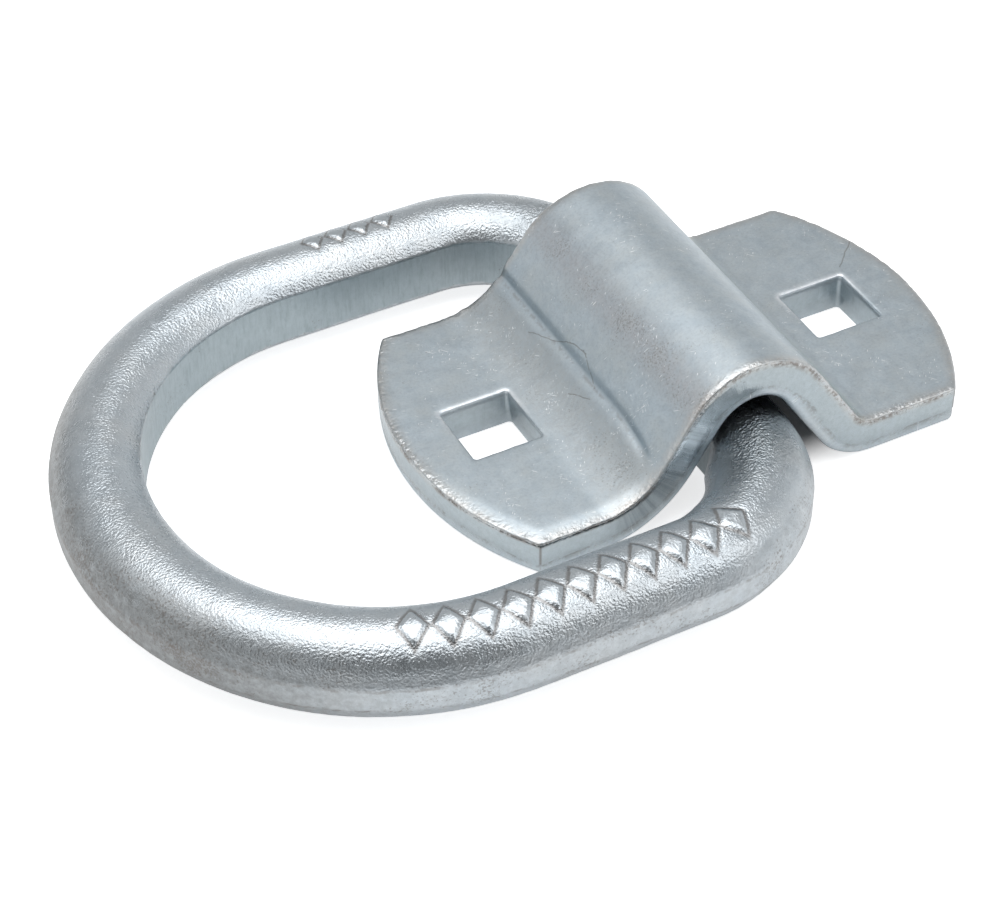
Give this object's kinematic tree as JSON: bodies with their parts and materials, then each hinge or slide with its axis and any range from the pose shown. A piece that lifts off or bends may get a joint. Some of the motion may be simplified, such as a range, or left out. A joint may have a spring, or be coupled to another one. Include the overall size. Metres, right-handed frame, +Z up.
{
  "type": "bolt on d ring tie down",
  "caption": "Forged steel D ring that swings in the arch of a pressed steel bracket with square bolt holes, a lashing point for straps, hooks and chains.",
  "frame": {"origin": "middle of the bracket, midway between its two square holes, on the flat underside that meets the surface it is bolted to", "axes": "+X from the ring's side to the other along the line of the two bolts, +Y along the bar of the ring, +Z up from the mounting surface; the ring lies towards -X"},
  "size_m": [0.1191, 0.0838, 0.0208],
  "materials": {
    "pressed_steel": "bright zinc plate over smooth rolled and pressed plate",
    "forged_steel": "bright zinc plate over a fine-grained forged skin"
  },
  "bodies": {
    "bracket": {"mounting_bracket": "pressed_steel"},
    "ring": {"d_ring": "forged_steel"}
  },
  "joints": [
    {"name": "ring_swing", "type": "hinge", "parent": "bracket", "child": "ring", "pos_m": [0, 0, 0.0066], "axis": [0, 1, 0], "range_deg": [0, 180]}
  ]
}
